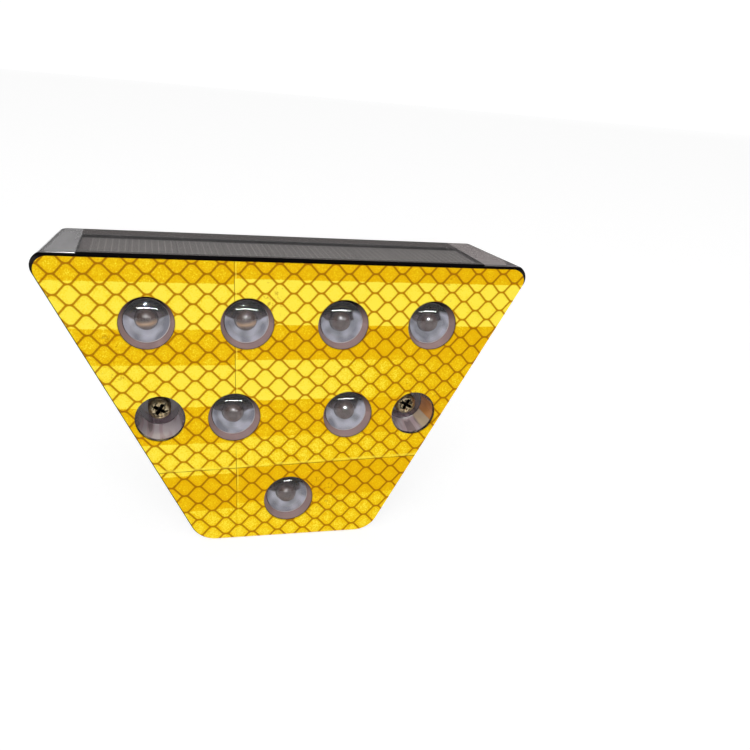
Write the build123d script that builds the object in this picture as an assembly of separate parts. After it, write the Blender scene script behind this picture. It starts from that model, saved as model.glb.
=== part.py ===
from build123d import *
import os
from math import cos, radians, sqrt, tan

# Solar guardrail delineator lamp, in millimetres.
# While it is built, +X is to the right seen from the front, +Y goes backwards from the housing's front
# face, and +Z is up from the surface that the lamp stands on. Everything is written out shifted, so that
# the origin is the centre of the bracket's bolt hole, on the underside of the flange.

# ---- driving sizes -------------------------------------------------------------------------------------

# Body outline: a trapezoid that is wide at the top.
BODY_HEIGHT = 73.75
BODY_BOTTOM_HALF = 22.56      # half of the bottom edge, to its sharp corner
BODY_TOP_HALF = 60.91         # half of the top edge, to its sharp corner
BODY_BOTTOM_RADIUS = 6.85
BODY_TOP_RADIUS = 3.35
ROOM_BEHIND_BOARD = 6.8       # circuit board to the leaning back plane, at z = 0
REAR_LEAN = 5.8               # degrees, the back plane leans backwards
SIDE_DRAFT = 5.0              # degrees, the sides close towards the back

# Housing walls.
FRONT_WALL = 1.8
SIDE_WALL = 2.0               # where it is thinnest, at the back of the top corners
BOTTOM_WALL = 2.0
TOP_WALL = 0.8
RIM_WALL = 1.2                # thin rim around the back plate
FRONT_EDGE_FILLET = 0.3

# Reflective film.
FILM_THICKNESS = 0.4
FILM_EDGE_GAP = 0.35          # bare housing left around the sides and the bottom
FILM_TOP_GAP = 1.0            # bare housing left above the film
FILM_HOLE_CLEARANCE = 0.05    # the film's windows are this much wider than the recesses

# Lens pattern, on the front face.
TOP_ROW_BELOW_TOP = 15.9      # from the body's top edge
TOP_OUTER_FROM_SIDE = 18.0    # level, from the body's sloping side
TOP_INNER_X = 11.65
MIDDLE_ROW_SHIFT = -0.3       # from half way between the other two rows
WELL_TO_MIDDLE_LENS = 17.6
BOTTOM_LENS_Z = 10.85

# Lens and its seat.
LENS_RADIUS = 5.25
RECESS_FLARE = 1.05           # the recess is this much wider than the lens at the front face
LENS_CLEARANCE = 0.1
LENS_RIM_DEPTH = 2.2
LENS_SAGITTA = 2.1
SEAT_DEPTH = 2.6
SEAT_COLLAR_WALL = 1.1
LENS_FLANGE_WIDTH = 1.65
LENS_FLANGE_THICKNESS = 1.2
LENS_BODY_STEP = 0.7          # the lens's body is this much narrower than its flange
LENS_TIP_RADIUS = 3.6
LENS_BODY_LENGTH = 4.6
LED_CLEARANCE = 0.15
LED_DEPTH = 0.7               # tip of the LED behind the back of the lens's flange

# LED, the usual 5 mm round type.
LED_RADIUS = 2.5
LED_LENGTH = 8.6
LED_COLLAR_RADIUS = 2.9
LED_COLLAR_THICKNESS = 1.0
LEAD_RADIUS = 0.25
LEAD_PITCH = 2.54
LEAD_HOLE_CLEARANCE = 0.15
LEAD_STICK_OUT = 1.0

# Screw wells and the clamp screws, M3.
WELL_EDGE_WALL = 1.57         # square to the body's sloping side
WELL_RIM_RADIUS = 5.85
WELL_TAPER = 1.05             # the floor's radius is this much smaller
WELL_FLOOR_THICKNESS = 2.0
BOSS_WALL = 0.75              # at the rim
BOSS_CORE_WALL = 2.4
SCREW_RADIUS = 1.5
SCREW_CLEARANCE = 0.2
SCREW_LENGTH = 22.0           # a stock length, so the wells' depth follows from it
SCREW_TIP = 0.44              # past the nut
SCREW_HEAD_RADIUS = 2.8
SCREW_HEAD_HEIGHT = 2.4
CROSS_WIDTH = 0.9
CROSS_SPAN = 3.2
CROSS_DEPTH = 1.5
NUT_ACROSS_FLATS = 5.5
NUT_THICKNESS = 2.4
NUT_CLEARANCE = 0.1
NUT_RECESS = 0.2              # the nut sits this far inside the rear face

# Back plate and its seal.
BACK_PLATE_THICKNESS = 2.0
SEAL_THICKNESS = 0.6
PLATE_CLEARANCE = 0.15

# Solar panel slot, under the top wall.
PANEL_END_GAP = 10.4          # clear ends, level with the panel
PANEL_BOARD_THICKNESS = 1.0
RIBBON_THICKNESS = 0.1
RIBBON_WIDTH = 1.2
CELL_THICKNESS = 0.25
ENCAPSULANT_THICKNESS = 0.4
PANEL_CLEARANCE = 0.2
CELL_COUNT = 9
CELL_GAP = 0.3
CELL_MARGIN = 0.5
SHELF_THICKNESS = 1.2
GUIDE_THICKNESS = 1.4
WIRE_HOLE_HALF = 5.0
WIRE_HOLE_FRONT = 16.0
WIRE_HOLE_BACK = 22.0

# Circuit board, its posts and screws.
BOARD_THICKNESS = 1.6
BOARD_GAP = 1.2                # from the walls around it
BOARD_TOP_GAP = 1.0
BOARD_BOSS_CLEARANCE = 0.4
POST_RADIUS = 2.5
POST_SIDE_X = 23.0
BOARD_SCREW_RADIUS = 0.85
BOARD_SCREW_CLEARANCE = 0.15
BOARD_SCREW_CORE_GAP = 0.05   # around the shank in the post
BOARD_SCREW_LENGTH = 7.6
BOARD_SCREW_HEAD_RADIUS = 1.9
BOARD_SCREW_HEAD_HEIGHT = 1.3
RESISTOR_DISTANCE = 3.4       # from the LED's axis
RESISTOR_LENGTH = 2.0
RESISTOR_WIDTH = 1.25
RESISTOR_THICKNESS = 0.5
CHIP_LENGTH = 4.9
CHIP_WIDTH = 3.9
CHIP_THICKNESS = 1.75
CHIP_STANDOFF = 0.2
CHIP_PINS_A_SIDE = 4
CHIP_PIN_PITCH = 1.27
CHIP_PIN_WIDTH = 0.4
CHIP_SPAN = 6.0               # over the pins
INDUCTOR_SIDE = 5.2
INDUCTOR_THICKNESS = 2.8
INDUCTOR_FLANGE = 0.6
INDUCTOR_CORE_RADIUS = 1.9
WINDING_RADIUS = 2.5
WINDING_CLEARANCE = 0.1
CAPACITOR_RADIUS = 2.0
CAPACITOR_HEIGHT = 4.2
CAPACITOR_EDGE_FILLET = 0.4
DIODE_LENGTH = 4.3
DIODE_WIDTH = 2.6
DIODE_THICKNESS = 2.0
DIODE_TAB_SPAN = 5.2
DIODE_TAB_WIDTH = 1.5
DIODE_TAB_THICKNESS = 0.3
PART_ROW_X = 9.5              # chip and diode on one side of the middle, coil and capacitor on the other
UPPER_PART_RAISE = 2.0        # above the low post
LOWER_PART_DROP = 8.6         # below the low post

# Battery, a flat 6 x 20 x 40 mm cell.
BATTERY_THICKNESS = 5.6
BATTERY_HEIGHT = 20.0
BATTERY_LENGTH = 40.0
BATTERY_EDGE_FILLET = 1.5
PAD_THICKNESS = 1.0
PAD_MARGIN = 2.0

# Rear cover, a shallow clear tray.
COVER_DEPTH = 5.5
COVER_INSET = 0.3
COVER_BOTTOM = 6.8
COVER_TOP_DROP = 1.8          # below the body's top
COVER_BOTTOM_RADIUS = 4.0
COVER_WALL = 1.0
COVER_SKIN = 1.2
COVER_EDGE_FILLET = 1.0
COVER_BOSS_RADIUS = 4.6
SEALANT_WIDTH = 1.9
BRACKET_SLOT_CLEARANCE = 0.1

# Bracket, bent from sheet.
SHEET = 1.4
BEND_RADIUS = 1.5             # inside
FLANGE_INSET = 2.56           # from the corner of the body's bottom edge
FLANGE_LENGTH = 44.5          # behind the back plane
FLANGE_CORNER_RADIUS = 3.5
LEG_EDGE_GAP = 3.6            # from the outline of the body's front
LEG_ABOVE_WELLS = 8.0
LEG_CORNER_RADIUS = 3.0
BOLT_HOLE_RADIUS = 9.0
BOLT_HOLE_FROM_END = 20.0

# Wires.
WIRE_RADIUS = 0.5
PANEL_WIRE_X = 2.0
PANEL_WIRE_Y = 19.0
PANEL_WIRE_PAD_DROP = 10.0
BATTERY_WIRE_REACH = 4.5
BATTERY_WIRE_SPREAD = 1.4
BATTERY_WIRE_DROP = 3.55      # below the top of the cell

# ---- sizes worked out from those -------------------------------------------------------------------------

DEEP = 200.0                          # further than anything reaches
BEHIND_COVER = 50.0                   # a depth behind the rear cover

TAPER = (BODY_TOP_HALF - BODY_BOTTOM_HALF) / BODY_HEIGHT
SIDE_STRETCH = sqrt(1 + TAPER**2)     # sideways distance for a distance square to the side
DRAFT_SLOPE = tan(radians(SIDE_DRAFT))
LEAN_SLOPE = tan(radians(REAR_LEAN))
LEAN_STRETCH = 1 / cos(radians(REAR_LEAN))


def half_width(z, inset=0.0, depth=0.0):
    """Half of the body's width at height z, to a line inset square to the sloping side."""
    return BODY_BOTTOM_HALF + TAPER * z - inset * SIDE_STRETCH - depth * DRAFT_SLOPE


# Depths, from the front face backwards.
LENS_FLANGE_BACK = SEAT_DEPTH + LENS_FLANGE_THICKNESS
LENS_BACK = LENS_FLANGE_BACK + LENS_BODY_LENGTH
LED_TIP = LENS_FLANGE_BACK + LED_DEPTH
BOARD_FRONT = LED_TIP + LED_LENGTH
BOARD_BACK = BOARD_FRONT + BOARD_THICKNESS
DEPTH_AT_BOTTOM = BOARD_BACK + ROOM_BEHIND_BOARD


def rear_y(z):
    """Depth of the leaning back plane at height z."""
    return DEPTH_AT_BOTTOM + LEAN_SLOPE * z


# Places on the front view.
TOP_ROW_Z = BODY_HEIGHT - TOP_ROW_BELOW_TOP
MIDDLE_ROW_Z = (TOP_ROW_Z + BOTTOM_LENS_Z) / 2 + MIDDLE_ROW_SHIFT
TOP_OUTER_X = half_width(TOP_ROW_Z) - TOP_OUTER_FROM_SIDE
WELL_X = half_width(MIDDLE_ROW_Z, WELL_RIM_RADIUS + WELL_EDGE_WALL)
MIDDLE_LENS_X = WELL_X - WELL_TO_MIDDLE_LENS
POST_SIDE_Z = (TOP_ROW_Z + MIDDLE_ROW_Z) / 2
POST_LOW_Z = (MIDDLE_ROW_Z + BOTTOM_LENS_Z) / 2
LENS_PLACES = (
    [(x, TOP_ROW_Z) for x in (-TOP_OUTER_X, -TOP_INNER_X, TOP_INNER_X, TOP_OUTER_X)]
    + [(x, MIDDLE_ROW_Z) for x in (-MIDDLE_LENS_X, MIDDLE_LENS_X)]
    + [(0, BOTTOM_LENS_Z)]
)
WELL_PLACES = [(x, MIDDLE_ROW_Z) for x in (-WELL_X, WELL_X)]
POST_PLACES = [(-POST_SIDE_X, POST_SIDE_Z), (POST_SIDE_X, POST_SIDE_Z), (0, POST_LOW_Z)]
CHIP_PLACE = (-PART_ROW_X, POST_LOW_Z + UPPER_PART_RAISE)
INDUCTOR_PLACE = (PART_ROW_X, POST_LOW_Z + UPPER_PART_RAISE)
CAPACITOR_PLACE = (PART_ROW_X, POST_LOW_Z - LOWER_PART_DROP)
DIODE_PLACE = (-PART_ROW_X, POST_LOW_Z - LOWER_PART_DROP)

# Radii of what fits together.
RECESS_RADIUS = LENS_RADIUS + RECESS_FLARE
LENS_FLANGE_RADIUS = LENS_RADIUS + LENS_FLANGE_WIDTH
LENS_BODY_RADIUS = LENS_FLANGE_RADIUS - LENS_BODY_STEP
SEAT_COLLAR_RADIUS = LENS_FLANGE_RADIUS + SEAT_COLLAR_WALL
BOSS_RADIUS = WELL_RIM_RADIUS + BOSS_WALL
BOSS_CORE_RADIUS = BOSS_RADIUS - BOSS_CORE_WALL
WELL_FLOOR_RADIUS = WELL_RIM_RADIUS - WELL_TAPER
SCREW_HOLE_RADIUS = SCREW_RADIUS + SCREW_CLEARANCE

# The housing's inside goes straight back, so its sides are thickest in front.
CAVITY_INSET = SIDE_WALL + rear_y(BODY_HEIGHT) * DRAFT_SLOPE / SIDE_STRETCH

# The nuts sit just inside the back of the rear cover, and the screw heads follow from them.
NUT_LOW_CORNER_Z = MIDDLE_ROW_Z - NUT_ACROSS_FLATS / sqrt(3)
NUT_BACK = rear_y(NUT_LOW_CORNER_Z) + COVER_DEPTH * LEAN_STRETCH - NUT_RECESS
NUT_FRONT = NUT_BACK - NUT_THICKNESS
WELL_DEPTH = NUT_BACK + SCREW_TIP - SCREW_LENGTH

# The panel's slot, from the top wall downwards.
PANEL_STACK = PANEL_BOARD_THICKNESS + RIBBON_THICKNESS + CELL_THICKNESS + ENCAPSULANT_THICKNESS
SLOT_TOP = BODY_HEIGHT - TOP_WALL
SLOT_BOTTOM = SLOT_TOP - PANEL_STACK - PANEL_CLEARANCE
SHELF_BOTTOM = SLOT_BOTTOM - SHELF_THICKNESS
PANEL_HALF_LENGTH = half_width(SLOT_BOTTOM) - PANEL_END_GAP
SLOT_HALF = PANEL_HALF_LENGTH + PANEL_CLEARANCE
SHELF_HALF = SLOT_HALF + GUIDE_THICKNESS
PANEL_BOTTOM = SLOT_BOTTOM + PANEL_CLEARANCE / 2
PANEL_FRONT = FRONT_WALL + PANEL_CLEARANCE
PANEL_BACK = rear_y(SLOT_BOTTOM) - PANEL_CLEARANCE

BATTERY_BOTTOM = POST_SIDE_Z - BATTERY_HEIGHT / 2
BATTERY_TOP = POST_SIDE_Z + BATTERY_HEIGHT / 2
COVER_TOP = BODY_HEIGHT - COVER_TOP_DROP
LEG_TOP = MIDDLE_ROW_Z + LEG_ABOVE_WELLS
FLANGE_HALF = BODY_BOTTOM_HALF - FLANGE_INSET
FLANGE_END = DEPTH_AT_BOTTOM + FLANGE_LENGTH
BOLT_HOLE_Y = FLANGE_END - BOLT_HOLE_FROM_END

# ---- helpers ---------------------------------------------------------------------------------------------


def outline(inset, low=None, high=None, low_radius=None, high_radius=None, depth=0.0):
    """The body's trapezoid moved inwards by inset, between two heights, with rounded corners."""
    low = inset if low is None else low
    high = BODY_HEIGHT - inset if high is None else high
    low_radius = BODY_BOTTOM_RADIUS - inset if low_radius is None else low_radius
    high_radius = BODY_TOP_RADIUS - inset if high_radius is None else high_radius

    wide_low, wide_high = half_width(low, inset, depth), half_width(high, inset, depth)
    corners = [(-wide_low, low), (wide_low, low), (wide_high, high), (-wide_high, high)]
    face = make_face(Polyline(*corners, close=True))
    if low_radius > 0.1:
        face = fillet(face.vertices().group_by(Axis.Y)[0], low_radius)
    if high_radius > 0.1:
        face = fillet(face.vertices().group_by(Axis.Y)[-1], high_radius)
    return face


def slab(face, front, back=DEEP):
    """A front-view face made solid between two depths."""
    return extrude(Plane.XZ.offset(-front) * face, amount=front - back)


def closing(inset, **limits):
    """The body's outline made solid from the front face to behind the cover, its sides closing."""
    ends = [Plane.XZ.offset(-depth) * outline(inset, depth=depth, **limits) for depth in (0, BEHIND_COVER)]
    return loft(ends, ruled=True)


def cavity_outline(high):
    return outline(CAVITY_INSET, low=BOTTOM_WALL, high=high)


def between(shape, front, back):
    """The part of a shape between two planes that are parallel to the leaning back plane."""
    tall = Rectangle(2 * DEEP, 2 * DEEP)
    lean = Plane((0, DEPTH_AT_BOTTOM, 0), x_dir=(1, 0, 0), z_dir=(0, -1, LEAN_SLOPE))
    return shape & extrude(lean.offset(-front) * tall, amount=front - back)


def in_front(shape, distance):
    """The part of a shape in front of the leaning back plane, moved forwards by distance."""
    return between(shape, -DEEP, -distance)


def box(x0, x1, y0, y1, z0, z1):
    return Pos((x0 + x1) / 2, (y0 + y1) / 2, (z0 + z1) / 2) * Box(x1 - x0, y1 - y0, z1 - z0)


def looking_back(x, y, z):
    """A plane at a point, with its own Z axis pointing backwards along +Y."""
    return Plane((x, y, z), x_dir=(1, 0, 0), z_dir=(0, 1, 0))


def rod(place, front, back, radius, end_radius=None):
    """A round bar or cone along Y at a place on the front view."""
    base = (Align.CENTER, Align.CENTER, Align.MIN)
    length = back - front
    if end_radius is None:
        shape = Cylinder(radius, length, align=base)
    else:
        shape = Cone(radius, end_radius, length, align=base)
    return looking_back(place[0], front, place[1]) * shape


def tube(points, radii):
    """A wire that follows straight runs joined by arcs."""
    path = FilletPolyline(*points, radius=radii)
    section = Plane(path @ 0, z_dir=path % 0) * Circle(WIRE_RADIUS)
    return sweep(section, path=path)


def corner_radius(first_run, second_run):
    """The largest arc at a square corner between two runs."""
    return 0.45 * min(first_run, second_run)


# ---- casing ----------------------------------------------------------------------------------------------


def housing():
    ledge = BACK_PLATE_THICKNESS + SEAL_THICKNESS
    body = closing(0)
    shell = in_front(body, 0)
    shell = fillet(shell.faces().sort_by(Axis.Y)[0].edges(), FRONT_EDGE_FILLET)
    shell -= in_front(slab(cavity_outline(SLOT_TOP), FRONT_WALL), 0)
    shell -= between(closing(RIM_WALL, high=SLOT_TOP), -ledge, DEEP)

    guide = box(-SHELF_HALF, SHELF_HALF, FRONT_WALL, DEEP, SHELF_BOTTOM, SLOT_TOP)
    slot = box(-SLOT_HALF, SLOT_HALF, FRONT_WALL, DEEP, SLOT_BOTTOM, SLOT_TOP)
    wire_hole = box(-WIRE_HOLE_HALF, WIRE_HOLE_HALF, WIRE_HOLE_FRONT, WIRE_HOLE_BACK, SHELF_BOTTOM, SLOT_TOP)
    shell += in_front(guide - slot - wire_hole, 0)

    for place in LENS_PLACES:
        shell += rod(place, FRONT_WALL, SEAT_DEPTH, SEAT_COLLAR_RADIUS)
    for place in POST_PLACES:
        shell += rod(place, FRONT_WALL, BOARD_FRONT, POST_RADIUS)
    for place in WELL_PLACES:
        shell += in_front(body & rod(place, FRONT_WALL, DEEP, BOSS_RADIUS), BACK_PLATE_THICKNESS)

    for place in LENS_PLACES:
        shell -= rod(place, 0, SEAT_DEPTH, RECESS_RADIUS, LENS_RADIUS + LENS_CLEARANCE)
    for place in POST_PLACES:
        core = BOARD_SCREW_RADIUS + BOARD_SCREW_CORE_GAP
        shell -= rod(place, BOARD_BACK - BOARD_SCREW_LENGTH, BOARD_FRONT, core)
    for place in WELL_PLACES:
        shell -= rod(place, 0, WELL_DEPTH, WELL_RIM_RADIUS, WELL_FLOOR_RADIUS)
        shell -= rod(place, WELL_DEPTH, DEEP, SCREW_HOLE_RADIUS)
        shell -= rod(place, WELL_DEPTH + WELL_FLOOR_THICKNESS, DEEP, BOSS_CORE_RADIUS)
    return shell


def reflective_film():
    sheet = outline(FILM_EDGE_GAP, high=BODY_HEIGHT - FILM_TOP_GAP)
    film = slab(sheet, -FILM_THICKNESS, 0)
    for place in LENS_PLACES:
        film -= rod(place, -FILM_THICKNESS, 0, RECESS_RADIUS + FILM_HOLE_CLEARANCE)
    for place in WELL_PLACES:
        film -= rod(place, -FILM_THICKNESS, 0, WELL_RIM_RADIUS + FILM_HOLE_CLEARANCE)
    return film


def back_plate():
    inset = RIM_WALL + PLATE_CLEARANCE
    plate = between(closing(inset, high=SLOT_TOP - PLATE_CLEARANCE), -BACK_PLATE_THICKNESS, 0)
    reach = SHELF_HALF + PLATE_CLEARANCE
    plate -= box(-reach, reach, 0, DEEP, SHELF_BOTTOM - PLATE_CLEARANCE, BODY_HEIGHT)
    for place in WELL_PLACES:
        plate -= rod(place, 0, DEEP, SCREW_HOLE_RADIUS)
    return plate


def perimeter_seal():
    """A bead between the housing's ledge and the back plate."""
    high = SLOT_TOP - PLATE_CLEARANCE
    bead = closing(RIM_WALL + PLATE_CLEARANCE, high=high) - slab(cavity_outline(high), -1, DEEP)
    bead = between(bead, -BACK_PLATE_THICKNESS - SEAL_THICKNESS, -BACK_PLATE_THICKNESS)
    for place in WELL_PLACES:
        bead -= rod(place, 0, DEEP, BOSS_RADIUS)
    return bead


def rear_cover():
    skin_front = COVER_DEPTH - COVER_SKIN
    rim = closing(COVER_INSET, low=COVER_BOTTOM, high=COVER_TOP, low_radius=COVER_BOTTOM_RADIUS)
    cover = between(rim, 0, COVER_DEPTH)
    cover = fillet(cover.faces().sort_by(Axis.Y)[-1].edges(), COVER_EDGE_FILLET)
    cover -= between(cover_inside(), 0, skin_front)
    for place in WELL_PLACES:
        cover += between(rim & rod(place, 0, DEEP, COVER_BOSS_RADIUS), SHEET, skin_front)
        cover -= rod(place, 0, DEEP, SCREW_HOLE_RADIUS)
        cover -= hexagon(place, NUT_FRONT, DEEP, NUT_ACROSS_FLATS + 2 * NUT_CLEARANCE)
    slot = between(slab(leg_outline(BRACKET_SLOT_CLEARANCE), 0), 0, SHEET + BRACKET_SLOT_CLEARANCE)
    cover -= slot & box(-DEEP, DEEP, 0, DEEP, 0, COVER_BOTTOM + 2 * COVER_WALL)
    return cover


def cover_inside():
    return closing(
        COVER_INSET + COVER_WALL,
        low=COVER_BOTTOM + COVER_WALL,
        high=COVER_TOP - COVER_WALL,
        low_radius=COVER_BOTTOM_RADIUS - COVER_WALL,
    )


def rear_sealant():
    """A band of sealant around the inside of the rear cover's rim."""
    inner = closing(
        COVER_INSET + COVER_WALL + SEALANT_WIDTH,
        low=COVER_BOTTOM + COVER_WALL + SEALANT_WIDTH,
        high=COVER_TOP - COVER_WALL - SEALANT_WIDTH,
        low_radius=COVER_BOTTOM_RADIUS - COVER_WALL - SEALANT_WIDTH,
    )
    band = between(cover_inside() - inner, 0, COVER_DEPTH - COVER_SKIN)
    band -= between(slab(leg_outline(BRACKET_SLOT_CLEARANCE), 0), 0, SHEET + BRACKET_SLOT_CLEARANCE)
    for place in WELL_PLACES:
        band -= rod(place, 0, DEEP, COVER_BOSS_RADIUS)
    return band


# ---- bracket ---------------------------------------------------------------------------------------------


def leg_outline(grow):
    """Front view of the bracket's leg, wider by grow all round, down to the surface it stands on."""
    flare = (LEG_EDGE_GAP * SIDE_STRETCH - FLANGE_INSET) / TAPER
    foot = FLANGE_HALF + grow
    top = LEG_TOP + grow
    wide = half_width(top, LEG_EDGE_GAP) + grow
    points = [(-foot, 0), (foot, 0), (foot, flare), (wide, top), (-wide, top), (-foot, flare)]
    face = make_face(Polyline(*points, close=True))
    return fillet(face.vertices().group_by(Axis.Y)[-1], LEG_CORNER_RADIUS + grow)


def mounting_bracket():
    sheet_across = SHEET * LEAN_STRETCH
    corner = (DEPTH_AT_BOTTOM, 0)
    inner_corner = (rear_y(SHEET) + sheet_across, SHEET)
    leg_tip = (rear_y(LEG_TOP), LEG_TOP)
    inner_leg_tip = (rear_y(LEG_TOP) + sheet_across, LEG_TOP)
    side = [corner, (FLANGE_END, 0), (FLANGE_END, SHEET), inner_corner, inner_leg_tip, leg_tip]
    profile = make_face(Polyline(*side, close=True))
    at_corner = profile.vertices().sort_by_distance(corner + (0,))[0]
    profile = fillet(at_corner, BEND_RADIUS + SHEET)
    at_inner = profile.vertices().sort_by_distance(inner_corner + (0,))[0]
    profile = fillet(at_inner, BEND_RADIUS)
    bent = extrude(Plane.YZ * profile, amount=DEEP, both=True)

    flange = Pos(0, FLANGE_END / 2, 0) * Rectangle(2 * FLANGE_HALF, FLANGE_END)
    flange = fillet(flange.vertices().group_by(Axis.Y)[-1], FLANGE_CORNER_RADIUS)
    flange_block = extrude(flange, amount=SHEET + BEND_RADIUS)
    leg_block = slab(leg_outline(0), 0)
    leg_block &= box(-DEEP, DEEP, 0, rear_y(LEG_TOP) + 2 * sheet_across, 0, LEG_TOP)
    leg_part = bent & leg_block & box(-DEEP, DEEP, 0, DEEP, SHEET + BEND_RADIUS, LEG_TOP)
    bracket = leg_part + (bent & flange_block)
    bracket -= Pos(0, BOLT_HOLE_Y, 0) * Cylinder(BOLT_HOLE_RADIUS, 4 * SHEET)
    for place in WELL_PLACES:
        bracket -= rod(place, 0, DEEP, SCREW_HOLE_RADIUS)
    return bracket


# ---- fasteners -------------------------------------------------------------------------------------------


def hexagon(place, front, back, across_flats):
    face = RegularPolygon(across_flats / 2, 6, major_radius=False)
    return looking_back(place[0], front, place[1]) * extrude(face, amount=back - front)


def clamp_screw(place):
    head_front = WELL_DEPTH - SCREW_HEAD_HEIGHT
    screw = rod(place, head_front, WELL_DEPTH, SCREW_HEAD_RADIUS)
    screw = fillet(screw.edges().group_by(Axis.Y)[0], SCREW_HEAD_HEIGHT / 2)
    screw += rod(place, WELL_DEPTH, WELL_DEPTH + SCREW_LENGTH, SCREW_RADIUS)
    face = Rectangle(CROSS_SPAN, CROSS_WIDTH) + Rectangle(CROSS_WIDTH, CROSS_SPAN)
    cross = extrude(Rot(0, 0, 30) * face, amount=CROSS_DEPTH, taper=12)
    screw -= looking_back(place[0], head_front, place[1]) * cross
    return screw


def clamp_nut(place):
    nut = hexagon(place, NUT_FRONT, NUT_BACK, NUT_ACROSS_FLATS)
    return nut - rod(place, NUT_FRONT, NUT_BACK, SCREW_RADIUS)


def board_screw(place):
    screw = rod(place, BOARD_BACK, BOARD_BACK + BOARD_SCREW_HEAD_HEIGHT, BOARD_SCREW_HEAD_RADIUS)
    screw = fillet(screw.edges().group_by(Axis.Y)[-1], BOARD_SCREW_HEAD_HEIGHT / 3)
    tip = BOARD_BACK - BOARD_SCREW_LENGTH
    return screw + rod(place, tip, BOARD_BACK, BOARD_SCREW_RADIUS)


# ---- light -----------------------------------------------------------------------------------------------


def lens(place):
    """A collimating lens: domed front, flange behind the housing's front wall, pocket for the LED."""
    apex = LENS_RIM_DEPTH - LENS_SAGITTA
    pocket = LED_RADIUS + LED_CLEARANCE
    edge = Polyline(
        (LENS_RADIUS, LENS_RIM_DEPTH),
        (LENS_RADIUS, SEAT_DEPTH),
        (LENS_FLANGE_RADIUS, SEAT_DEPTH),
        (LENS_FLANGE_RADIUS, LENS_FLANGE_BACK),
        (LENS_BODY_RADIUS, LENS_FLANGE_BACK),
        (LENS_TIP_RADIUS, LENS_BACK),
        (pocket, LENS_BACK),
        (pocket, LED_TIP - LED_CLEARANCE),
        (0, LED_TIP - LED_CLEARANCE),
        (0, apex),
    )
    dome = TangentArc((0, apex), (LENS_RADIUS, LENS_RIM_DEPTH), tangent=(1, 0))
    half = Plane.XZ * make_face(edge + dome)
    return looking_back(place[0], 0, place[1]) * revolve(half, Axis.Z)


def led(place):
    shoulder = LED_TIP + LED_RADIUS
    body = looking_back(place[0], shoulder, place[1]) * Sphere(LED_RADIUS)
    body += rod(place, shoulder, BOARD_FRONT, LED_RADIUS)
    body += rod(place, BOARD_FRONT - LED_COLLAR_THICKNESS, BOARD_FRONT, LED_COLLAR_RADIUS)
    return body


def lead_places():
    places = []
    for x, z in LENS_PLACES:
        places += [(x - LEAD_PITCH / 2, z), (x + LEAD_PITCH / 2, z)]
    return places


def led_leads():
    back = BOARD_BACK + LEAD_STICK_OUT
    return [rod(place, BOARD_FRONT, back, LEAD_RADIUS) for place in lead_places()]


# ---- electronics -----------------------------------------------------------------------------------------


def circuit_board():
    low, high = BOTTOM_WALL + BOARD_GAP, SHELF_BOTTOM - BOARD_TOP_GAP
    face = outline(CAVITY_INSET + BOARD_GAP, low=low, high=high, high_radius=1.0)
    board = slab(face, BOARD_FRONT, BOARD_BACK)
    for place in WELL_PLACES:
        board -= rod(place, BOARD_FRONT, BOARD_BACK, BOSS_RADIUS + BOARD_BOSS_CLEARANCE)
    for place in POST_PLACES:
        board -= rod(place, BOARD_FRONT, BOARD_BACK, BOARD_SCREW_RADIUS + BOARD_SCREW_CLEARANCE)
    for place in lead_places():
        board -= rod(place, BOARD_FRONT, BOARD_BACK, LEAD_RADIUS + LEAD_HOLE_CLEARANCE)
    return board


def on_board(x, z, width, height, thickness):
    """A block on the back of the board, centred on a place on the front view."""
    across, up = width / 2, height / 2
    return box(x - across, x + across, BOARD_BACK, BOARD_BACK + thickness, z - up, z + up)


def controller_chip():
    """An eight-pin package with its legs."""
    x, z = CHIP_PLACE
    body = on_board(x, z, CHIP_LENGTH, CHIP_WIDTH, CHIP_THICKNESS)
    body -= on_board(x, z, CHIP_LENGTH, CHIP_WIDTH, CHIP_STANDOFF)
    for pin in range(CHIP_PINS_A_SIDE):
        pin_x = x + (pin - (CHIP_PINS_A_SIDE - 1) / 2) * CHIP_PIN_PITCH
        body += on_board(pin_x, z, CHIP_PIN_WIDTH, CHIP_SPAN, 2 * CHIP_STANDOFF)
    return body


def charge_inductor():
    """A square ferrite core: a foot and a cap with a round middle between them."""
    x, z = INDUCTOR_PLACE
    side = INDUCTOR_SIDE
    foot = on_board(x, z, side, side, INDUCTOR_FLANGE)
    cap = on_board(x, z, side, side, INDUCTOR_THICKNESS)
    cap -= on_board(x, z, side, side, INDUCTOR_THICKNESS - INDUCTOR_FLANGE)
    return foot + cap + rod((x, z), BOARD_BACK, BOARD_BACK + INDUCTOR_THICKNESS, INDUCTOR_CORE_RADIUS)


def inductor_winding():
    front = BOARD_BACK + INDUCTOR_FLANGE + WINDING_CLEARANCE
    back = BOARD_BACK + INDUCTOR_THICKNESS - INDUCTOR_FLANGE - WINDING_CLEARANCE
    inside = rod(INDUCTOR_PLACE, front, back, INDUCTOR_CORE_RADIUS + WINDING_CLEARANCE / 2)
    return rod(INDUCTOR_PLACE, front, back, WINDING_RADIUS) - inside


def filter_capacitor():
    can = rod(CAPACITOR_PLACE, BOARD_BACK, BOARD_BACK + CAPACITOR_HEIGHT, CAPACITOR_RADIUS)
    return fillet(can.edges().group_by(Axis.Y)[-1], CAPACITOR_EDGE_FILLET)


def blocking_diode():
    x, z = DIODE_PLACE
    tabs = on_board(x, z, DIODE_TAB_SPAN, DIODE_TAB_WIDTH, DIODE_TAB_THICKNESS)
    return tabs + on_board(x, z, DIODE_LENGTH, DIODE_WIDTH, DIODE_THICKNESS)


def led_resistors():
    """One beside each LED: above the top row, below the others, clear of the battery."""
    resistors = []
    for x, z in LENS_PLACES:
        side = 1 if z > BATTERY_BOTTOM else -1
        place = (x, z + side * RESISTOR_DISTANCE)
        resistors.append(on_board(*place, RESISTOR_LENGTH, RESISTOR_WIDTH, RESISTOR_THICKNESS))
    return resistors


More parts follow.
